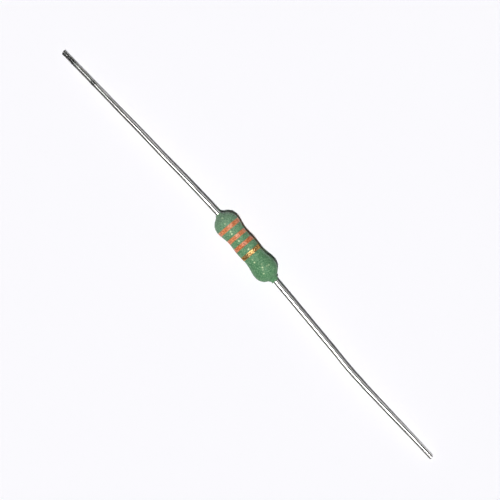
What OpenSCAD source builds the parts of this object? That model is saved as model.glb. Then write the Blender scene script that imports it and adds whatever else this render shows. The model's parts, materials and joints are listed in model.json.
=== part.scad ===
// Axial film resistor, with caps and leads, as it comes to rest on a flat surface.
// X runs along the body, +Z is up, and z = 0 is the surface it lies on.
// The middle of the part's outline, seen from above, is at x = 0, y = 0.
// Profiles are drawn as [radius, distance along the body] and turned about the body's axis.

/* [Ceramic core] */
// Diameter of the ceramic rod
rod_d = 2.0; // [1.6:0.1:2.6]
// Length of the ceramic rod
rod_len = 7.8; // [7.2:0.1:9.6]
// Bevel on the rod's two edges
rod_bevel = 0.12; // [0.06:0.02:0.2]

/* [Resistive film] */
// Thickness of the film on the rod
film_t = 0.04; // [0.02:0.01:0.08]
// Turns of the spiral groove that trims the film to its value
trim_turns = 5; // [3:1:6]
// Width of the spiral groove, measured along the rod
trim_groove = 0.16; // [0.08:0.02:0.2]
// Film left whole beside each cap
trim_margin = 0.45; // [0.3:0.05:0.7]

/* [End caps] */
// Thickness of the pressed cap's metal
cap_wall = 0.18; // [0.12:0.02:0.26]
// Length of a cap, from its mouth to its flat face
cap_len = 1.9; // [1.4:0.1:2.3]
// Radius of the cap's outer edge
cap_round = 0.25; // [0.16:0.01:0.35]

/* [Leads] */
// Diameter of the tinned wire
lead_d = 0.6; // [0.5:0.05:0.8]
// Radius of the weld fillet between the wire and the cap
weld_fillet = 0.2; // [0.1:0.05:0.3]
// Straight wire that shows past the lacquer before the first bend
lead_stub = 0.2; // [0.1:0.05:1]
// Lead A: wire from its bend to its tip
lead_a_run = 26.0; // [20:0.1:32]
// Lead A: how far it is bent aside, in degrees
lead_a_aside = 3.25; // [2.5:0.25:4]
// Lead B: wire from the first bend to the second
lead_b_run_1 = 13.4; // [10:0.2:16]
// Lead B: wire from the second bend to the tip
lead_b_run_2 = 13.9; // [12:0.1:17]
// Lead B: first stretch, bent aside in degrees
lead_b_aside_1 = 0.7; // [0.25:0.05:1]
// Lead B: second stretch, bent back to the other side in degrees
lead_b_aside_2 = 3.0; // [2.5:0.25:4]
// Lead B: how far the first stretch slopes down, in degrees
lead_b_slope_1 = 0.8; // [0.5:0.1:2]
// Lead B: radius of its second bend
lead_b_bend_r = 24; // [10:2:40]

/* [Lacquer coating] */
// Lacquer over the caps, at the crest of each bulge
lacquer_on_caps = 0.28; // [0.2:0.02:0.4]
// Lacquer over the film, at the narrowest place
lacquer_on_film = 0.21; // [0.14:0.01:0.3]
// Extra lacquer in the middle of the body
lacquer_swell = 0.07; // [0:0.01:0.12]
// Crest of each bulge, measured back from the cap's face
crest_back = 0.73; // [0.5:0.05:0.9]
// Lacquer's reach past the cap's face, at the foot of the shoulder
shoulder_reach = 0.65; // [0.5:0.05:0.9]
// How far inboard of the caps' mouths the lacquer starts to thicken
ramp = 0.7; // [0.4:0.05:0.9]
// Diameter of the lacquer's neck where it meets the shoulder
neck_root_d = 1.24; // [1.1:0.02:1.5]
// Diameter of the lacquer's neck at its lip
neck_lip_d = 0.9; // [0.86:0.02:1]
// Length of the neck that has crept along lead A
neck_a_len = 0.3; // [0.2:0.05:0.5]
// Length of the neck that has crept along lead B
neck_b_len = 0.53; // [0.3:0.01:0.8]

/* [Colour bands] */
// Width of each band along the body
band_w = 0.52; // [0.4:0.02:0.7]
// Thickness of a band, let into the lacquer so that it lies flush
band_t = 0.03; // [0.01:0.01:0.06]
// Middle of the first digit's band, measured inboard from the crest at end A
band_1_in = 0.38; // [0.3:0.02:0.6]
// From the first digit's band to the second digit's
band_step_2 = 1.36; // [1.1:0.02:1.5]
// From the second digit's band to the multiplier's
band_step_3 = 1.18; // [1.1:0.01:1.5]
// From the multiplier's band to the tolerance band
band_step_4 = 1.3; // [1.1:0.01:2]

/* [Hidden] */
$fn = 96;

END_A = -1;
END_B = 1;
// How far a cut runs past the face that it opens
overshoot = 0.05;
// The skin that joins two straight stretches of wire, and the gap between them inside it
collar_skin = 0.01;
collar_len = 0.16;
collar_gap = 0.01;
arc_steps = 8;
bend_steps = 4;
body_steps = 36;
shoulder_steps = 14;
slices_per_turn = 30;

rod_r = rod_d / 2;
rod_half = rod_len / 2;
film_r = rod_r + film_t;
film_end = rod_half - rod_bevel;
cap_r = film_r + cap_wall;
cap_face = rod_half + cap_wall;
cap_mouth = cap_face - cap_len;
cap_corner = rod_bevel / 2;
lead_r = lead_d / 2;

// The lacquer's outline: waist, crest of the bulge, elliptical shoulder, neck on the lead
waist_r = film_r + lacquer_on_film;
crest_r = cap_r + lacquer_on_caps;
crest_x = cap_face - crest_back;
waist_x = cap_mouth - ramp;
shoulder_a = cap_face + shoulder_reach - crest_x;
shoulder_b = crest_r - lead_r;
shoulder_foot = asin((neck_root_d / 2 - lead_r) / shoulder_b);
neck_x = crest_x + shoulder_a * cos(shoulder_foot);
lip = neck_lip_d / 2 - lead_r;
function lacquer_end(end) = neck_x + (end == END_A ? neck_a_len : neck_b_len);

trim_half = cap_mouth - trim_margin;
trim_pitch = 2 * trim_half / trim_turns;

band_1_x = -crest_x + band_1_in;
band_2_x = band_1_x + band_step_2;
band_3_x = band_2_x + band_step_3;
band_4_x = band_3_x + band_step_4;

// The bulges touch the surface, so the axis lies one crest radius above it
axis_z = crest_r;

// Corners of each lead: cap face, first bend, any second bend, tip.
// The slope of the last stretch brings the tip down onto the surface.
function heading(aside, slope) = [cos(slope) * cos(aside), cos(slope) * sin(aside), -sin(slope)];
function bend_at(end) = [end * (lacquer_end(end) + lead_stub), 0, axis_z];
function slope_to_rest(from_z, run) = asin((from_z - lead_r) / run);
a_bend = bend_at(END_A);
a_tip = a_bend + lead_a_run * heading(180 + lead_a_aside, slope_to_rest(axis_z, lead_a_run));
b_bend_1 = bend_at(END_B);
b_bend_2 = b_bend_1 + lead_b_run_1 * heading(-lead_b_aside_1, lead_b_slope_1);
b_tip = b_bend_2
    + lead_b_run_2 * heading(lead_b_aside_2, slope_to_rest(b_bend_2.z, lead_b_run_2));
lead_a_route = [[-cap_face, 0, axis_z], a_bend, a_tip];
lead_b_route = concat(
    [[cap_face, 0, axis_z], b_bend_1],
    rounded(b_bend_1, b_bend_2, b_tip, lead_b_bend_r),
    [b_tip]);

function unit(v) = v / norm(v);
function way(route, i) = unit(route[i + 1] - route[i]);

// Points along the arc that rounds the corner between two straight stretches
function rounded(from, corner, to, r) =
    let (before = unit(corner - from),
         after = unit(to - corner),
         turn = acos(before * after),
         side = unit(after - (before * after) * before),
         start = corner - r * tan(turn / 2) * before)
    [for (i = [0:bend_steps]) let (a = turn * i / bend_steps)
        start + r * (sin(a) * before + (1 - cos(a)) * side)];

// How far the edge of a wire's flat tip reaches from its centre, along an axis
function edge_of_tip(along, axis) = lead_r * sqrt(1 - pow(along[axis], 2));

// Middle of the part's outline, seen from above
a_way = way(lead_a_route, 1);
b_way = unit(b_tip - b_bend_2);
low_x = a_tip.x - edge_of_tip(a_way, 0);
high_x = b_tip.x + edge_of_tip(b_way, 0);
low_y = min(-crest_r, a_tip.y - edge_of_tip(a_way, 1));
high_y = max(crest_r, b_tip.y + edge_of_tip(b_way, 1));
middle = [(low_x + high_x) / 2, (low_y + high_y) / 2, 0];

function arc(centre, r, from, to) =
    [for (i = [0:arc_steps]) let (a = from + (to - from) * i / arc_steps)
        centre + r * [cos(a), sin(a)]];

function ease(t) = t * t * (3 - 2 * t);
function lacquer_r(x) = x < waist_x
    ? waist_r + lacquer_swell * pow(cos(90 * x / waist_x), 2)
    : waist_r + (crest_r - waist_r) * ease((x - waist_x) / (crest_x - waist_x));

// The rounded shoulder and the neck on the lead, from the crest outward
function end_points(end) = concat(
    [for (i = [1:shoulder_steps])
        let (a = 90 - (90 - shoulder_foot) * i / shoulder_steps)
        [lead_r + shoulder_b * sin(a), crest_x + shoulder_a * cos(a)]],
    arc([lead_r, lacquer_end(end) - lip], lip, 0, 90),
    [[0, lacquer_end(end)]]);
function mirrored(points) =
    [for (i = [len(points) - 1:-1:0]) [points[i][0], -points[i][1]]];
lacquer_outline = concat(
    mirrored(end_points(END_A)),
    [for (i = [-body_steps:body_steps])
        let (x = crest_x * i / body_steps) [lacquer_r(abs(x)), x]],
    end_points(END_B));

cap_outline = concat(
    [[0, cap_mouth], [cap_r, cap_mouth]],
    arc([cap_r - cap_round, cap_face - cap_round], cap_round, 0, 90),
    [[0, cap_face]]);
cap_hollow = concat(
    [[0, cap_mouth - overshoot], [film_r, cap_mouth - overshoot]],
    arc([film_r - cap_corner, rod_half - cap_corner], cap_corner, 0, 90),
    [[0, rod_half]]);
function weld_outline(end_x) = concat(
    [[0, cap_face]],
    arc([lead_r + weld_fillet, cap_face + weld_fillet], weld_fillet, 270, 180),
    [[lead_r, end_x], [0, end_x]]);

module turned() {
    rotate([0, 90, 0])
        rotate_extrude()
            children();
}

// Puts a piece drawn about the body's own middle where the part lies
module in_place() {
    translate([0, 0, axis_z] - middle)
        children();
}

module at_end(end) {
    if (end == END_A)
        mirror([1, 0, 0])
            children();
    else
        children();
}

module ceramic_rod() {
    color("ivory")
        in_place()
            turned()
                polygon([[0, -rod_half], [rod_r - rod_bevel, -rod_half], [rod_r, -film_end],
                         [rod_r, film_end], [rod_r - rod_bevel, rod_half], [0, rod_half]]);
}

// The groove's cut, seen along the rod: it sweeps round as it is pulled along
module groove_section() {
    angle = 360 * trim_groove / trim_pitch;
    inner = rod_r - overshoot;
    outer = film_r + overshoot;
    polygon(concat(arc([0, 0], outer, 0, angle), arc([0, 0], inner, angle, 0)));
}

module resistive_film() {
    color("dimgray")
        in_place()
            difference() {
                turned()
                    polygon([[rod_r, -film_end], [film_r, -film_end],
                             [film_r, film_end], [rod_r, film_end]]);
                rotate([0, 90, 0])
                    translate([0, 0, -trim_half])
                        linear_extrude(height = 2 * trim_half, twist = 360 * trim_turns,
                                       slices = slices_per_turn * trim_turns, segments = 1)
                            groove_section();
            }
}

module end_cap(end) {
    color("silver")
        in_place()
            at_end(end)
                turned()
                    difference() {
                        polygon(cap_outline);
                        polygon(cap_hollow);
                    }
}

// Stands a piece's own Z axis along a heading, at a point
module aimed(point, along) {
    translate(point)
        rotate([0, acos(along.z), atan2(along.y, along.x)])
            children();
}

// A round wire from one point to another, stopping short inside the collars at its ends
module wire(from, to, from_gap, to_gap) {
    along = unit(to - from);
    aimed(from + from_gap * along, along)
        cylinder(r = lead_r, h = norm(to - from) - from_gap - to_gap);
}

// Joins two stretches of the wire that meet at a point, by a skin round both of their ends
module collar(point, before, after) {
    aimed(point, unit(before + after))
        cylinder(r = lead_r + collar_skin, h = collar_len, center = true);
}

module lead(end, route) {
    last = len(route) - 2;
    color("gainsboro")
        union() {
            in_place()
                at_end(end)
                    turned()
                        polygon(weld_outline(lacquer_end(end) + lead_stub - collar_gap));
            translate(-middle)
                for (i = [1:last]) {
                    collar(route[i], way(route, i - 1), way(route, i));
                    wire(route[i], route[i + 1], collar_gap, i < last ? collar_gap : 0);
                }
        }
}

// The stretch of the lacquer's skin that a band fills
module band_section(x) {
    intersection() {
        difference() {
            polygon(lacquer_outline);
            translate([-band_t, 0])
                polygon(lacquer_outline);
        }
        translate([rod_r, x - band_w / 2])
            square([crest_r, band_w]);
    }
}

module band(x, colour) {
    color(colour)
        in_place()
            turned()
                band_section(x);
}

module lacquer_coating() {
    color("seagreen")
        in_place()
            turned()
                difference() {
                    polygon(lacquer_outline);
                    translate([0, -cap_mouth])
                        square([film_r, 2 * cap_mouth]);
                    polygon(cap_outline);
                    polygon(mirrored(cap_outline));
                    polygon(weld_outline(lacquer_end(END_B) + overshoot));
                    polygon(mirrored(weld_outline(lacquer_end(END_A) + overshoot)));
                    for (x = [band_1_x, band_2_x, band_3_x, band_4_x])
                        band_section(x);
                }
}

ceramic_rod();
resistive_film();
end_cap(END_A);  // end_cap_a
end_cap(END_B);  // end_cap_b
lead(END_A, lead_a_route);  // lead_a
lead(END_B, lead_b_route);  // lead_b
lacquer_coating();
band(band_1_x, "darkorange");  // band_first_digit
band(band_2_x, "darkorange");  // band_second_digit
band(band_3_x, "darkorange");  // band_multiplier
band(band_4_x, "goldenrod");  // band_tolerance
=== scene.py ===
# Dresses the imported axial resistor: the dipped lacquer coat, its printed bands, the tinned leads and
# the pieces hidden inside, lying on a pale floor and seen from straight above.
# Lengths named here are millimetres unless a comment says otherwise. Blender gets metres.
# End A of the body is written as -1 and end B as 1.
import json
import math

import bpy
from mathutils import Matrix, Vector, noise


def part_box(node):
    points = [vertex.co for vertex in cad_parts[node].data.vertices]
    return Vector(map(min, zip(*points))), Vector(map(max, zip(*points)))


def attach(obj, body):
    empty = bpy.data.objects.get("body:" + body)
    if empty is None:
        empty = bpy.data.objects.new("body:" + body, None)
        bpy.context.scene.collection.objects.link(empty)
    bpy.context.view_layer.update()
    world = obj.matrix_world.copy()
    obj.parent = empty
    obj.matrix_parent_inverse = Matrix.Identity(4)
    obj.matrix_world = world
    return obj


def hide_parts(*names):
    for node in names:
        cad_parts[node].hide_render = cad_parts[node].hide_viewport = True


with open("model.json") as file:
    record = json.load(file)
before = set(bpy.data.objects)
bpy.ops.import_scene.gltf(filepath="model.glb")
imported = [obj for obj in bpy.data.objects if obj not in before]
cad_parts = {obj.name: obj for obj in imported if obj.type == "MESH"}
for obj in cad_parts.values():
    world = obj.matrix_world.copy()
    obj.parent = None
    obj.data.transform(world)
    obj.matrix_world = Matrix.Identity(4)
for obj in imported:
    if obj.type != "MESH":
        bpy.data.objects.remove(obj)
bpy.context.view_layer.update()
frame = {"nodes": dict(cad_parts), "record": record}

MM = 0.001
TAU = 2 * math.pi


def in_mm(box):
    return [corner / MM for corner in box]


def half_height(node):
    low, high = in_mm(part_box(node))
    return (high.z - low.z) / 2


# Where the body lies, and its sizes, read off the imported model
coat_low, coat_high = in_mm(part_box("lacquer_coating"))
cap_a_low = in_mm(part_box("end_cap_a"))[0]
cap_b_low, cap_b_high = in_mm(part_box("end_cap_b"))
MIDDLE = Vector(((cap_a_low.x + cap_b_high.x) / 2,
                 (coat_low.y + coat_high.y) / 2,
                 (coat_low.z + coat_high.z) / 2))
CAP_FACE = cap_b_high.x - MIDDLE.x
CAP_MOUTH = cap_b_low.x - MIDDLE.x
CAP_R = half_height("end_cap_a")
FILM_R = half_height("resistive_film")
CREST_R = half_height("lacquer_coating")
COAT_END = {-1: MIDDLE.x - coat_low.x, 1: coat_high.x - MIDDLE.x}
LEADS = {mount["name"]: mount for mount in frame["record"]["mounts"]}
LEAD_R = LEADS["lead_a_end"]["dims"]["r_mm"]

# The coat's outline, as in the solids: a waist, a bulge over each cap, a rounded shoulder, a neck
LACQUER_ON_FILM = 0.21
SWELL = 0.07
# From the cap's mouth back to where the bulge starts, from its face back to the crest, and from its
# face on to where the shoulder would meet the wire
RAMP = 0.7
CREST_BACK = 0.73
SHOULDER_REACH = 0.65
CREST_X = CAP_FACE - CREST_BACK
WAIST_X = CAP_MOUTH - RAMP
WAIST_R = FILM_R + LACQUER_ON_FILM
SHOULDER_LEN = CAP_FACE + SHOULDER_REACH - CREST_X
SHOULDER_DROP = CREST_R - LEAD_R
# The shoulder at end A is a little leaner than the ellipse at end B
SHOULDER_POWER = {-1: 1.85, 1: 2.0}
# The neck's taper starts this part of the way along the shoulder
NECK_ROOT_PART = 0.963
NECK_ROOT_X = CREST_X + NECK_ROOT_PART * SHOULDER_LEN
NECK_ROOT_R = 0.62
NECK_LIP_R = 0.45
# How softly the shoulder runs into the neck
MENISCUS = 0.09
# What the coat's inside follows: the cap's rounded rim, and the weld's fillet between wire and cap
CAP_ROUND = 0.25
WELD_FILLET = 0.2

# Unevenness of the dipped coat: slow waves, orange peel, and nibs of dust under the lacquer
WAVE_DEPTH = 0.014
WAVE_SIZE = 1.7
PEEL_DEPTH = 0.007
PEEL_SIZE = 0.3
# It fades out where the coat is thinner than this over the wire
THIN_COAT = 0.15
NIB_HEIGHT = 0.014
NIB_R = 0.06
# How far round each nib its gloss and its painted glint reach
NIB_WET_R = 0.082
# Each nib: how far along the body from its middle, how far aside, and how bold it is
NIBS = [(-2.48, -0.2, 0.8), (-2.18, -0.27, 1.0), (-1.04, -0.17, 1.0), (0.38, 0.07, 1.0),
        (1.98, -0.41, 0.9), (3.0, -0.08, 1.0), (-3.55, -0.12, 0.5), (-4.28, 0.08, 0.4),
        (3.64, -0.43, 0.6), (1.58, -0.38, 0.4), (3.24, 0.68, 0.5), (3.2, 0.42, 0.35),
        (2.66, 0.1, 0.35), (3.25, -0.2, 0.4)]
# At end B the neck leans aside, and a small drop hangs on the other side of the wire
NECK_LEAN = 0.08
NECK_LEAN_AT = 4.98
NECK_LEAN_LEN = 0.13
DROP = 0.06
DROP_AT = 5.2
DROP_LEN = 0.07

# Fineness of the meshes
RING_STEP = 0.045
OUTLINE_STEPS = 4000
COAT_SIDES = 192
BAND_STEPS = 16
WIRE_SIDES = 48
WIRE_STEP = 0.11
ARC_STEPS = 10
QUARTER_TURN = [math.pi / 2 * i / ARC_STEPS for i in range(ARC_STEPS + 1)]

# Printed bands, whose edges wander slowly and are ragged in a finer way
BAND_PROUD = 0.009
BAND_SUNK = 0.02
BAND_EDGE = 0.025
BAND_WANDER = 0.022
WANDER_FINENESS = 2.3
RAGGED_SHARE = 0.4
RAGGED_FINENESS = 9
# Where in the noise each band, and each of its two edges, draws its own wander
BAND_SEED = {"first_digit": 0, "second_digit": 13, "multiplier": 26, "tolerance": 51}
FAR_EDGE_SEED = 1
NEAR_EDGE_SEED = 7

# Leads: bends, and the sheared tips
STUB = 0.2
STUB_BEND_R = 5.0
LEAD_B_RUN_2 = 13.9
LEAD_B_BEND_R = 24.0
# How far each lead strays towards +Y from its straight stretches, at places along it from the cap
LEAD_STRAY = {
    -1: [(1.5, 0), (3, 0.03), (6.5, 0.05), (10.4, 0.015), (14.3, 0.03), (18.2, 0)],
    1: [(1.5, 0), (4.2, 0.01), (8.2, 0.02), (11.5, 0.03), (13.8, 0.0), (15.4, -0.01),
        (17.8, -0.05), (21.7, -0.035), (25.5, -0.005), (28.6, -0.015)],
}
TIP_ROUND = 0.035
# How slanting the cut is, in degrees
TIP_SHEAR = {-1: 14.0, 1: 8.0}
# The tin's uneven thickness. Each layer: its share, its length along the wire, its fineness round it
TIN_DEPTH = 0.005
TIN_LAYERS = [(0.35, 2.2, 1.3), (0.15, 0.35, 2.6)]

# Places along the body, from its middle, between which a finish changes from 0 to 1
PALE_END = (-1.6, -4.2)
DEEP_END = (0.9, 2.0)
THIRD_RING = (-1.2, -0.9)
WORN_END = (-18.5, -23.5)
GRIP_NEAR = (-25.5, -25.8)
GRIP_FAR = (-26.5, -26.2)
CUT_END = (-28.7, -29.0)

# Camera: the picture is square and takes in this much at the height of the view plane
VIEW_WIDTH = 58.14
VIEW_PLANE = 0.3
# The picture's middle, measured from the body's middle, and its turn in degrees
VIEW_ASIDE = (0.561, 0.131)
VIEW_TURN = 49.6
LENS = 100.0
SENSOR = 36.0
# The nearest and farthest that it sees, in metres
CLIP = (0.01, 10.0)

# Light: a nearly overhead lamp, leaning from the bottom of the picture. Angles are degrees
LAMP_LEAN = 12.3
LAMP_FROM = (0.63, -0.776)
LAMP_ANGLE = 2.5
AMBIENT = 0.02
# What shines sees a wide soft box instead, leaning from the upper right
SOFTBOX_LEAN = 7.4
SOFTBOX_FROM = (0.56, 0.83)
SOFTBOX_ANGLE = 33.5
SOFTBOX_ENERGY = 3.2
# What shines sees a bright ceiling above this height in the sky, dark walls below it, a paler strip
# along the horizon, and pale walls beyond the two tips
CEILING_FROM = 0.88
CEILING_FULL = 0.96
WALLS = 0.05
HORIZON = 0.5
HORIZON_TOP = 0.3
END_WALLS = 0.5
END_WALLS_FROM = 0.25
END_WALLS_FULL = 0.5
# The colour of the floor and of what the camera sees beyond it, and half the floor's width in metres
PAPER = (0.965, 0.957, 0.99)
FLOOR_HALF = 1.5


def ease(t):
    t = min(max(t, 0.0), 1.0)
    return t * t * (3 - 2 * t)


def smooth_max(a, b, k):
    h = max(k - abs(a - b), 0.0) / k
    return max(a, b) + h * h * k / 4


def hump(distance, length):
    return math.exp(-(distance / length) ** 2)


# Meshes

def add_object(name, data):
    piece = bpy.data.objects.new(name, data)
    bpy.context.scene.collection.objects.link(piece)
    return piece


def mesh_object(name, points, faces):
    mesh = bpy.data.meshes.new(name)
    mesh.from_pydata(points, [], faces)
    mesh.validate()
    mesh.update()
    for polygon in mesh.polygons:
        polygon.use_smooth = True
    return add_object(name, mesh)


def skin_faces(rings, sides, closed):
    """Quads between neighbouring rings of points, and from the last ring to the first if closed."""
    faces = []
    for i in range(rings if closed else rings - 1):
        a = i * sides
        b = ((i + 1) % rings) * sides
        for j in range(sides):
            k = (j + 1) % sides
            faces.append((a + j, b + j, b + k, a + k))
    return faces


def turned_piece(name, rings):
    """A closed skin round the body's axis. Each ring is a function of the angle giving (x, r)."""
    points = []
    for ring in rings:
        for j in range(COAT_SIDES):
            angle = TAU * j / COAT_SIDES
            x, r = ring(angle)
            points.append((MIDDLE + Vector((x, r * math.sin(angle), r * math.cos(angle)))) * MM)
    return mesh_object(name, points, skin_faces(len(rings), COAT_SIDES, closed=True))


# The coat

def neck_r(d, end):
    """Radius of the neck at d from the middle: a taper, then a lip rounded down to the wire."""
    lip_len = NECK_LIP_R - LEAD_R
    lip = COAT_END[end] - lip_len
    if d < lip:
        slope = (NECK_ROOT_R - NECK_LIP_R) / (lip - NECK_ROOT_X)
        return NECK_ROOT_R - slope * (d - NECK_ROOT_X)
    return LEAD_R + math.sqrt(max(lip_len ** 2 - (d - lip) ** 2, 0.0))


def coat_outline_r(x):
    """Radius of the even coat at x along the body."""
    end = -1 if x < 0 else 1
    d = abs(x)
    if d < WAIST_X:
        return WAIST_R + SWELL * math.cos(math.pi / 2 * d / WAIST_X) ** 2
    if d < CREST_X:
        return WAIST_R + (CREST_R - WAIST_R) * ease((d - WAIST_X) / (CREST_X - WAIST_X))
    power = SHOULDER_POWER[end]
    t = (d - CREST_X) / SHOULDER_LEN
    shoulder = LEAD_R + SHOULDER_DROP * (1 - t ** power) ** (1 / power) if t < 1 else 0.0
    # The neck has no part in the shoulder's first half
    if t < 0.5:
        return shoulder
    return smooth_max(shoulder, neck_r(d, end), MENISCUS)


def nib_humps(x, y, size):
    """How strongly each nib is felt at a place on the coat's top."""
    return [bold * hump(math.hypot(x - along, y - aside), size) for along, aside, bold in NIBS]


def coat_r(x, angle):
    """Radius of the real, uneven coat. The angle runs from the top, towards +Y."""
    r = coat_outline_r(x)
    across = math.sin(angle)
    up = math.cos(angle)
    at = Vector((x, r * across, r * up))
    slack = min(1.0, max(0.0, (r - LEAD_R) / THIN_COAT))
    wave = 0.5 + 0.5 * noise.noise(at / WAVE_SIZE)
    peel = 0.5 + 0.5 * noise.noise(at / PEEL_SIZE)
    r -= slack * (WAVE_DEPTH * wave + PEEL_DEPTH * peel)
    if x > WAIST_X:
        r += NECK_LEAN * hump(x - NECK_LEAN_AT, NECK_LEAN_LEN) * across * slack
        r += DROP * hump(x - DROP_AT, DROP_LEN) * max(0.0, -across) * slack
    if up > 0:
        r += NIB_HEIGHT * sum(nib_humps(x, at.y, NIB_R))
    return r


def even_stations():
    """Places along the body, evenly spaced over the coat's outline."""
    start, stop = -COAT_END[-1], COAT_END[1]
    xs = [start + (stop - start) * i / OUTLINE_STEPS for i in range(OUTLINE_STEPS + 1)]
    run = [0.0]
    for before, after in zip(xs, xs[1:]):
        rise = coat_outline_r(after) - coat_outline_r(before)
        run.append(run[-1] + math.hypot(after - before, rise))
    count = int(run[-1] / RING_STEP)
    stations = []
    i = 0
    for k in range(count + 1):
        want = run[-1] * k / count
        while i < OUTLINE_STEPS - 1 and run[i + 1] < want:
            i += 1
        part = (want - run[i]) / (run[i + 1] - run[i])
        stations.append(xs[i] + (xs[i + 1] - xs[i]) * part)
    return stations


def inner_outline():
    """The coat's inside from end B to end A, as (x, radius): wire, weld, cap and film."""
    half = [(COAT_END[1], LEAD_R)]
    half += [(CAP_FACE + WELD_FILLET * (1 - math.sin(a)), LEAD_R + WELD_FILLET * (1 - math.cos(a)))
             for a in QUARTER_TURN]
    half += [(CAP_FACE - CAP_ROUND * (1 - math.cos(a)), CAP_R - CAP_ROUND * (1 - math.sin(a)))
             for a in QUARTER_TURN]
    half += [(CAP_MOUTH, CAP_R), (CAP_MOUTH, FILM_R)]
    other = [(-x, r) for x, r in reversed(half)]
    other[-1] = (-COAT_END[-1], LEAD_R)
    return half[1:] + other[:-1]


def coat_ring(x):
    return lambda angle: (x, coat_r(x, angle))


def even_ring(x, r):
    return lambda angle: (x, r)


def mark_nibs(piece):
    """Stores how close each point of the coat is to a nib, for its gloss and its painted glint."""
    marks = piece.data.attributes.new("nib", "FLOAT", "POINT")
    for vertex, mark in zip(piece.data.vertices, marks.data):
        at = vertex.co / MM - MIDDLE
        if at.z > 0:
            mark.value = max(nib_humps(at.x, at.y, NIB_WET_R))


def lacquer_coat():
    rings = [coat_ring(x) for x in even_stations()]
    rings += [even_ring(x, r) for x, r in inner_outline()]
    piece = turned_piece("lacquer_coat", rings)
    mark_nibs(piece)
    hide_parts("lacquer_coating")
    return piece


# The bands

def band_ring(centre, half, part, lift, seed):
    """One ring of a band: part runs from -1 at one edge to 1 at the other."""
    edge_seed = seed + (FAR_EDGE_SEED if part > 0 else NEAR_EDGE_SEED)

    def place(angle):
        edge = Vector((math.cos(angle), math.sin(angle), edge_seed))
        wander = BAND_WANDER * noise.noise(edge * WANDER_FINENESS)
        wander += RAGGED_SHARE * BAND_WANDER * noise.noise(edge * RAGGED_FINENESS)
        x = centre + part * (half + wander)
        return x, coat_r(x, angle) + lift
    return place


def band(which):
    node = "band_" + which
    seed = BAND_SEED[which]
    low, high = in_mm(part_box(node))
    centre = (low.x + high.x) / 2 - MIDDLE.x
    half = (high.x - low.x) / 2
    edge = BAND_EDGE / half
    rings = []
    for i in range(BAND_STEPS + 1):
        part = -1 + 2 * i / BAND_STEPS
        near = (1 - abs(part)) / edge
        lift = BAND_PROUD * math.sin(math.pi / 2 * min(1.0, near))
        rings.append(band_ring(centre, half, part, lift, seed))
    rings.append(band_ring(centre, half, 1 - edge, -BAND_SUNK, seed))
    rings.append(band_ring(centre, half, -1 + edge, -BAND_SUNK, seed))
    piece = turned_piece("ring_" + which, rings)
    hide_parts(node)
    return piece


# The leads

def rounded_route(corners, radii):
    """The corners of a wire's route, each inner one replaced by points on its bend."""
    route = [corners[0]]
    for before, corner, after, r in zip(corners, corners[1:], corners[2:], radii):
        come = (corner - before).normalized()
        go = (after - corner).normalized()
        turn = come.angle(go)
        side = (go - come * come.dot(go)).normalized()
        start = corner - come * (r * math.tan(turn / 2))
        for i in range(ARC_STEPS + 1):
            a = turn * i / ARC_STEPS
            route.append(start + r * (math.sin(a) * come + (1 - math.cos(a)) * side))
    route.append(corners[-1])
    return route


def along_route(route):
    """Points at even steps along a route, each with how far along it lies."""
    total = sum((b - a).length for a, b in zip(route, route[1:]))
    count = int(total / WIRE_STEP)
    stations = []
    done = 0.0
    leg = 0
    for k in range(count + 1):
        want = total * k / count
        while leg < len(route) - 2 and done + (route[leg + 1] - route[leg]).length < want:
            done += (route[leg + 1] - route[leg]).length
            leg += 1
        here = route[leg]
        way = (route[leg + 1] - here).normalized()
        stations.append((want, here + way * (want - done)))
    return stations, total


def wire_stations(corners, radii):
    """Places along a wire, closer where the weld's fillet turns and where the tip's rim is rounded."""
    stations, total = along_route(rounded_route(corners, radii))
    face, tip = corners[0], corners[-1]
    out = (corners[1] - face).normalized()
    back = (corners[-2] - tip).normalized()
    weld = [WELD_FILLET * (1 - math.cos(a)) for a in QUARTER_TURN[:-1]]
    rim = [TIP_ROUND * (1 - math.sin(a)) for a in QUARTER_TURN]
    run = [station for station in stations if WELD_FILLET < station[0] < total - 2 * TIP_ROUND]
    return [(s, face + out * s) for s in weld] + run + [(total - s, tip + back * s) for s in rim]


def weld_r(s):
    """Extra radius of the weld's fillet at s from the cap's face."""
    if s >= WELD_FILLET:
        return 0.0
    return WELD_FILLET - math.sqrt(WELD_FILLET ** 2 - (WELD_FILLET - s) ** 2)


def tin_r(centre, angle):
    """The tinned wire's uneven radius: long runs of slightly thicker tin."""
    thin = 0.5
    for share, run, fineness in TIN_LAYERS:
        at = Vector((centre.x / run, fineness * math.cos(angle), fineness * math.sin(angle)))
        thin += share * noise.noise(at)
    return LEAD_R - TIN_DEPTH * thin


def stray_at(places, s):
    """How far aside a lead strays at s along it, eased between the listed places."""
    if s < places[0][0]:
        return 0.0
    for (before, low), (after, high) in zip(places, places[1:]):
        if s <= after:
            return low + (high - low) * ease((s - before) / (after - before))
    return places[-1][1]


def wire_ring(stations, i, end):
    """The points in metres of one ring of a wire, which is rounded and slanting at the tip."""
    s, centre = stations[i]
    ahead = stations[min(i + 1, len(stations) - 1)][1]
    behind = stations[max(i - 1, 0)][1]
    way = (ahead - behind).normalized()
    aside = Vector((0, 0, 1)).cross(way).normalized()
    up = way.cross(aside)
    strayed = centre + Vector((0, stray_at(LEAD_STRAY[end], s), 0))
    to_tip = stations[-1][0] - s
    rim = max(0.0, 1 - to_tip / TIP_ROUND)
    lost = TIP_ROUND * (1 - math.sqrt(max(0.0, 1 - rim * rim)))
    slant = math.tan(math.radians(TIP_SHEAR[end])) * ease(1 - to_tip / (4 * LEAD_R))
    points = []
    for j in range(WIRE_SIDES):
        angle = TAU * j / WIRE_SIDES
        r = tin_r(centre, angle) + weld_r(s) - lost
        spot = strayed + r * (aside * math.sin(angle) + up * math.cos(angle))
        spot -= way * (slant * (LEAD_R + r * math.sin(angle)))
        points.append(spot * MM)
    return points


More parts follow.
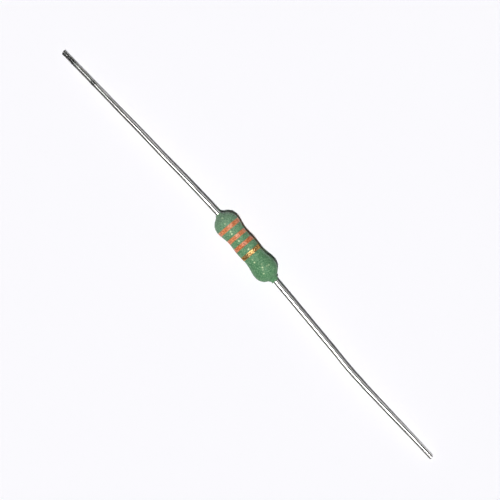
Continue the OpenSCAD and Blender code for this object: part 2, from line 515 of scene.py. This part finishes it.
def end_fan(points, start, first):
    """Closes a wire's end by triangles to a middle point, which is added to the points."""
    hub = len(points)
    points.append(sum(points[start:start + WIRE_SIDES], Vector()) / WIRE_SIDES)
    fan = []
    for j in range(WIRE_SIDES):
        a, b = start + j, start + (j + 1) % WIRE_SIDES
        fan.append((hub, a, b) if first else (hub, b, a))
    return fan


def wire(name, node, corners, radii, end):
    stations = wire_stations(corners, radii)
    rings = len(stations)
    points = [point for i in range(rings) for point in wire_ring(stations, i, end)]
    faces = skin_faces(rings, WIRE_SIDES, closed=False)
    faces += end_fan(points, 0, first=True)
    faces += end_fan(points, (rings - 1) * WIRE_SIDES, first=False)
    piece = mesh_object(name, points, faces)
    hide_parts(node)
    return piece


def tip_and_way(mount):
    """Where a lead's last straight stretch ends on the floor, and its direction."""
    centre = Vector(mount["pos_m"]) / MM
    way = Vector(mount["axis"]).normalized()
    return centre + way * ((LEAD_R - centre.z) / way.z), way


def cap_centre(end):
    return MIDDLE + Vector((end * CAP_FACE, 0, 0))


def stub_end(end):
    return MIDDLE + Vector((end * (COAT_END[end] + STUB), 0, 0))


def lead_a():
    tip, _ = tip_and_way(LEADS["lead_a_end"])
    return wire("wire_a", "lead_a", [cap_centre(-1), stub_end(-1), tip], [STUB_BEND_R], -1)


def lead_b():
    tip, way = tip_and_way(LEADS["lead_b_end"])
    second_bend = tip - way * LEAD_B_RUN_2
    corners = [cap_centre(1), stub_end(1), second_bend, tip]
    return wire("wire_b", "lead_b", corners, [STUB_BEND_R, LEAD_B_BEND_R], 1)


# Materials

def linear(red, green, blue):
    """A colour written as 0 to 255 in a picture, as the renderer's own numbers."""
    def channel(value):
        v = value / 255
        return v / 12.92 if v <= 0.04045 else ((v + 0.055) / 1.055) ** 2.4
    return (channel(red), channel(green), channel(blue), 1.0)


LACQUER_DARK = linear(82, 134, 92)
LACQUER_LIGHT = linear(102, 152, 110)
LACQUER_PALE = linear(122, 150, 126)
LACQUER_DEEP = linear(70, 126, 80)
LACQUER_SPECK = linear(44, 80, 54)
LACQUER_GRAINS = (linear(48, 98, 64), linear(150, 190, 148))
PAINTED_NIB_GLINT = linear(240, 255, 202)
ORANGE_DARK = linear(204, 112, 58)
ORANGE_LIGHT = linear(222, 136, 86)
ORANGE_DEEP = linear(200, 100, 36)
ORANGE_THIN = linear(150, 84, 48)
ORANGE_GRAINS = (linear(150, 66, 30), linear(248, 176, 132))
GOLD_DARK = linear(100, 64, 22)
GOLD_LIGHT = linear(230, 188, 124)
GOLD_VARNISH = linear(150, 120, 80)
TIN_DARK = linear(200, 199, 195)
TIN_LIGHT = linear(222, 221, 217)
TIN_DULL = linear(112, 116, 112)
TIN_SCAR = linear(24, 28, 32)
STEEL_DARK = linear(190, 188, 180)
STEEL_LIGHT = linear(224, 222, 214)
FILM_DARK = linear(52, 50, 52)
FILM_LIGHT = linear(84, 82, 86)
CERAMIC_DARK = linear(232, 228, 216)
CERAMIC_LIGHT = linear(248, 245, 236)


class Graph:
    """A tree of nodes, added by short calls."""

    def __init__(self, tree):
        self.nodes = tree.nodes
        self.links = tree.links

    def feed(self, socket, value):
        """Gives a socket a plain value, or links a node's output to it."""
        if isinstance(value, (int, float, tuple)):
            socket.default_value = value
        else:
            self.links.new(value, socket)

    def spread(self, value, low, high, to_low=0.0, to_high=1.0, shape="LINEAR"):
        """Carries the range from low to high over to another, and holds the ends beyond it."""
        node = self.nodes.new("ShaderNodeMapRange")
        node.interpolation_type = shape
        for name, number in (("Value", value), ("From Min", low), ("From Max", high),
                             ("To Min", to_low), ("To Max", to_high)):
            self.feed(node.inputs[name], number)
        return node.outputs["Result"]

    def math(self, operation, *values):
        node = self.nodes.new("ShaderNodeMath")
        node.operation = operation
        for socket, value in zip(node.inputs, values):
            self.feed(socket, value)
        return node.outputs[0]

    def mix(self, factor, a, b):
        """Goes from colour a, where the factor is 0, to colour b, where it is 1."""
        node = self.nodes.new("ShaderNodeMix")
        node.data_type = "RGBA"
        self.feed(node.inputs["Factor"], factor)
        colours = [socket for socket in node.inputs if socket.type == "RGBA"]
        self.feed(colours[0], a)
        self.feed(colours[1], b)
        return [socket for socket in node.outputs if socket.type == "RGBA"][0]

    def choose(self, factor, a, b):
        """The same as mix, for plain numbers."""
        node = self.nodes.new("ShaderNodeMix")
        node.data_type = "FLOAT"
        self.feed(node.inputs[0], factor)
        self.feed(node.inputs[2], a)
        self.feed(node.inputs[3], b)
        return node.outputs[0]


class Finish(Graph):
    """A material's nodes. Its textures are measured in millimetres."""

    def __init__(self, name, metallic, ior=1.5):
        self.material = bpy.data.materials.new(name)
        self.material.use_nodes = True
        super().__init__(self.material.node_tree)
        self.shader = self.nodes["Principled BSDF"]
        self.set(Metallic=metallic, IOR=ior)
        scale = self.nodes.new("ShaderNodeVectorMath")
        scale.operation = "SCALE"
        scale.inputs["Scale"].default_value = 1 / MM
        self.feed(scale.inputs[0], self.nodes.new("ShaderNodeTexCoord").outputs["Object"])
        self.place = scale.outputs[0]

    def set(self, **sockets):
        for name, value in sockets.items():
            self.feed(self.shader.inputs[name.replace("_", " ")], value)

    def squeezed(self, sizes):
        """The place, squeezed so that one step is the given size along each axis."""
        node = self.nodes.new("ShaderNodeVectorMath")
        node.operation = "DIVIDE"
        self.feed(node.inputs[0], self.place)
        self.feed(node.inputs[1], sizes)
        return node.outputs[0]

    def along(self, start, stop):
        """0 at one place along the body's axis and 1 at another, measured from its middle."""
        node = self.nodes.new("ShaderNodeSeparateXYZ")
        self.feed(node.inputs[0], self.place)
        return self.spread(node.outputs["X"], MIDDLE.x + start, MIDDLE.x + stop)

    def mark(self, name):
        """What is stored under a name on the mesh."""
        node = self.nodes.new("ShaderNodeAttribute")
        node.attribute_name = name
        return node.outputs["Fac"]

    def noise(self, size, detail=3.0, rough=0.55):
        """Soft noise of one size, or of a size for each axis."""
        node = self.nodes.new("ShaderNodeTexNoise")
        node.inputs["Detail"].default_value = detail
        node.inputs["Roughness"].default_value = rough
        uneven = isinstance(size, tuple)
        node.inputs["Scale"].default_value = 1.0 if uneven else 1 / size
        self.feed(node.inputs["Vector"], self.squeezed(size) if uneven else self.place)
        return node.outputs["Fac"]

    def dots(self, size, radius):
        """1 in small scattered dots, 0 elsewhere."""
        node = self.nodes.new("ShaderNodeTexVoronoi")
        node.inputs["Scale"].default_value = 1 / size
        self.feed(node.inputs["Vector"], self.place)
        return self.spread(node.outputs["Distance"], radius, radius * 0.4)

    def tint(self, colour, where, share, other):
        """Takes a colour a share of the way to another one, where the mask is 1."""
        return self.mix(self.math("MULTIPLY", where, share), colour, other)

    def grain(self, colour, size, grains, amount):
        """Breaks a colour up into fine darker and lighter grains."""
        value = self.noise(size, detail=2, rough=0.6)
        for grain, full in zip(grains, (0.36, 0.64)):
            colour = self.mix(self.spread(value, 0.5, full, 0.0, amount), colour, grain)
        return colour

    def bump(self, height, distance):
        """distance is in millimetres."""
        node = self.nodes.new("ShaderNodeBump")
        node.inputs["Distance"].default_value = distance * MM
        self.feed(node.inputs["Height"], height)
        return node.outputs["Normal"]


def green_lacquer():
    f = Finish("green_lacquer", metallic=0.0, ior=1.45)
    clouds = f.spread(f.noise(0.5, detail=2), 0.3, 0.7)
    colour = f.mix(clouds, LACQUER_DARK, LACQUER_LIGHT)
    # The coat is paler and greyer towards end A, and a little deeper beyond the gold ring
    pale = f.math("MULTIPLY", f.along(*PALE_END), f.spread(clouds, 0.0, 1.0, 0.5, 0.9))
    colour = f.mix(pale, colour, LACQUER_PALE)
    colour = f.tint(colour, f.along(*DEEP_END), 0.45, LACQUER_DEEP)
    colour = f.grain(colour, 0.11, LACQUER_GRAINS, amount=0.6)
    colour = f.tint(colour, f.dots(0.41, 0.13), 0.6, LACQUER_SPECK)
    nib = f.mark("nib")
    # Over the nibs the base colour is painted a pale yellow-green: a painted glint, which shows under
    # any light
    colour = f.mix(nib, colour, PAINTED_NIB_GLINT)
    # Wet little specks and nibs glint where they face the soft box
    wet = f.math("MAXIMUM", f.dots(0.36, 0.16), nib)
    dull = f.spread(f.noise(0.25), 0.35, 0.65, 0.5, 0.62)
    rough = f.math("SUBTRACT", dull, f.math("MULTIPLY", wet, 0.25))
    peel = f.bump(f.noise(0.16, detail=2), 0.06)
    f.set(Base_Color=colour, Roughness=rough, Normal=peel, Specular_IOR_Level=0.4)
    return f.material


def orange_ink():
    f = Finish("orange_ink", metallic=0.0)
    clouds = f.spread(f.noise(0.3, detail=5, rough=0.7), 0.3, 0.7)
    colour = f.mix(clouds, ORANGE_DARK, ORANGE_LIGHT)
    colour = f.tint(colour, f.dots(0.3, 0.14), 0.35, ORANGE_THIN)
    # The third ring was printed thicker, so it is deeper in colour
    colour = f.tint(colour, f.along(*THIRD_RING), 0.7, ORANGE_DEEP)
    colour = f.grain(colour, 0.16, ORANGE_GRAINS, amount=0.6)
    rough = f.spread(f.noise(0.2), 0.35, 0.65, 0.28, 0.48)
    f.set(Base_Color=colour, Roughness=rough, Normal=f.bump(f.noise(0.14), 0.05))
    return f.material


def gold_ink():
    f = Finish("gold_ink", metallic=1.0)
    flakes = f.spread(f.noise(0.17, detail=3, rough=0.7), 0.38, 0.62)
    colour = f.mix(flakes, GOLD_DARK, GOLD_LIGHT)
    rough = f.spread(flakes, 0.0, 1.0, 0.52, 0.36)
    # The rim of a metal goes white at a glance; this ink's brown varnish keeps it dark
    f.set(Base_Color=colour, Roughness=rough, Normal=f.bump(f.noise(0.14, detail=2), 0.07),
          Specular_Tint=GOLD_VARNISH)
    return f.material


def tinned_wire():
    f = Finish("tinned_wire", metallic=1.0)
    streak = f.noise((1.6, 0.07, 0.07), detail=4)
    colour = f.mix(f.spread(streak, 0.3, 0.7), TIN_DARK, TIN_LIGHT)
    # Lead A is duller and more spotted the nearer its tip, where it was gripped and cut
    worn = f.spread(f.along(*WORN_END), 0.0, 1.0, 0.12, 1.0)
    patch = f.spread(f.noise((0.9, 0.35, 0.35), detail=4), 0.42, 0.6)
    dull = f.math("MULTIPLY", patch, worn)
    colour = f.tint(colour, dull, 0.75, TIN_DULL)
    gripped = f.math("MULTIPLY", f.along(*GRIP_NEAR), f.along(*GRIP_FAR))
    marked = f.math("MAXIMUM", gripped, f.along(*CUT_END))
    scratch = f.spread(f.noise(0.15, detail=2, rough=0.7), 0.49, 0.56, 1.0, 0.0)
    colour = f.mix(f.math("MULTIPLY", scratch, marked), colour, TIN_SCAR)
    rough = f.math("ADD", f.spread(streak, 0.3, 0.7, 0.06, 0.12), f.math("MULTIPLY", dull, 0.22))
    f.set(Base_Color=colour, Roughness=rough, Normal=f.bump(streak, 0.0012))
    return f.material


def cap_steel():
    f = Finish("cap_steel", metallic=1.0)
    drawn = f.noise((1.1, 0.06, 0.06), detail=4)
    f.set(Base_Color=f.mix(drawn, STEEL_DARK, STEEL_LIGHT),
          Roughness=f.spread(drawn, 0.3, 0.7, 0.24, 0.4), Normal=f.bump(drawn, 0.006))
    return f.material


def resistive_film():
    f = Finish("film", metallic=0.3)
    clouds = f.noise(0.22, detail=4)
    f.set(Base_Color=f.mix(clouds, FILM_DARK, FILM_LIGHT),
          Roughness=f.spread(clouds, 0.3, 0.7, 0.3, 0.46), Normal=f.bump(f.noise(0.07), 0.006))
    return f.material


def ceramic():
    f = Finish("ceramic", metallic=0.0)
    grain = f.noise(0.05, detail=3)
    f.set(Base_Color=f.mix(f.noise(0.5), CERAMIC_DARK, CERAMIC_LIGHT),
          Roughness=f.spread(grain, 0.3, 0.7, 0.62, 0.8), Normal=f.bump(grain, 0.01))
    return f.material


def dress(piece, material):
    piece.data.materials.append(material)
    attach(piece, "root")


def redress(node, material):
    """A CAD node whose shape is right keeps it and gets a better material."""
    for material_slot in frame["nodes"][node].material_slots:
        material_slot.material = material


# The studio

def floor():
    corners = [(x, y, 0) for x, y in ((-1, -1), (1, -1), (1, 1), (-1, 1))]
    piece = mesh_object("floor", [Vector(c) * FLOOR_HALF for c in corners], [(0, 1, 2, 3)])
    material = bpy.data.materials.new("paper")
    material.use_nodes = True
    shader = material.node_tree.nodes["Principled BSDF"]
    shader.inputs["Base Color"].default_value = (*PAPER, 1.0)
    shader.inputs["Roughness"].default_value = 1.0
    shader.inputs["Specular IOR Level"].default_value = 0.0
    piece.data.materials.append(material)


def lamp(name, lean, side, angle, energy):
    """A far lamp that leans from a side, given as how far along and across the body."""
    data = bpy.data.lights.new(name, "SUN")
    lean = math.radians(lean)
    data.angle = math.radians(angle)
    data.energy = energy / math.cos(lean)
    piece = add_object(name, data)
    from_x, from_y = side
    towards = Vector((from_x * math.sin(lean), from_y * math.sin(lean), math.cos(lean)))
    piece.rotation_euler = towards.to_track_quat("Z", "Y").to_euler()
    return piece


def lamps():
    # With the ambient light the key makes a colour on the floor render as it is written
    key = lamp("key", LAMP_LEAN, LAMP_FROM, LAMP_ANGLE, math.pi * (1 - AMBIENT))
    key.visible_glossy = False
    softbox = lamp("softbox", SOFTBOX_LEAN, SOFTBOX_FROM, SOFTBOX_ANGLE, SOFTBOX_ENERGY)
    softbox.visible_diffuse = False


def studio_world():
    """White to the camera; a bright ceiling over dark walls to what shines; faint elsewhere."""
    world = bpy.data.worlds.new("studio")
    bpy.context.scene.world = world
    world.use_nodes = True
    g = Graph(world.node_tree)
    background = g.nodes["Background"]
    background.inputs["Color"].default_value = (*PAPER, 1.0)
    way = g.nodes.new("ShaderNodeSeparateXYZ")
    g.feed(way.inputs[0], g.nodes.new("ShaderNodeTexCoord").outputs["Generated"])

    def fade(value, *ends):
        return g.spread(value, *ends, shape="SMOOTHSTEP")

    up = way.outputs["Z"]
    ceiling = fade(up, CEILING_FROM, CEILING_FULL, WALLS, 1.0)
    horizon = fade(up, 0.0, HORIZON_TOP, HORIZON, WALLS)
    endwise = g.math("ABSOLUTE", way.outputs["X"])
    end_walls = fade(endwise, END_WALLS_FROM, END_WALLS_FULL, 0.0, END_WALLS)
    sky = g.math("MAXIMUM", g.math("MAXIMUM", ceiling, horizon), end_walls)

    rays = g.nodes.new("ShaderNodeLightPath").outputs
    strength = g.choose(rays["Is Glossy Ray"], AMBIENT, sky)
    strength = g.choose(rays["Is Transmission Ray"], strength, 1.0)
    strength = g.choose(rays["Is Camera Ray"], strength, 1.0)
    g.feed(background.inputs["Strength"], strength)


def camera():
    data = bpy.data.cameras.new("overhead")
    data.type = "PERSP"
    data.lens = LENS
    data.sensor_width = SENSOR
    data.clip_start, data.clip_end = CLIP
    eye = add_object("overhead", data)
    distance = VIEW_WIDTH * LENS / SENSOR
    aside_x, aside_y = VIEW_ASIDE
    eye.location = Vector((MIDDLE.x + aside_x, MIDDLE.y + aside_y, VIEW_PLANE + distance)) * MM
    eye.rotation_euler = (0, 0, math.radians(VIEW_TURN))
    bpy.context.scene.camera = eye


dress(lacquer_coat(), green_lacquer())
orange = orange_ink()
for digit in ("first_digit", "second_digit", "multiplier"):
    dress(band(digit), orange)
dress(band("tolerance"), gold_ink())
tin = tinned_wire()
dress(lead_a(), tin)
dress(lead_b(), tin)

steel = cap_steel()
redress("end_cap_a", steel)
redress("end_cap_b", steel)
redress("resistive_film", resistive_film())
redress("ceramic_rod", ceramic())

floor()
lamps()
studio_world()
camera()
bpy.context.scene.view_settings.view_transform = "Standard"
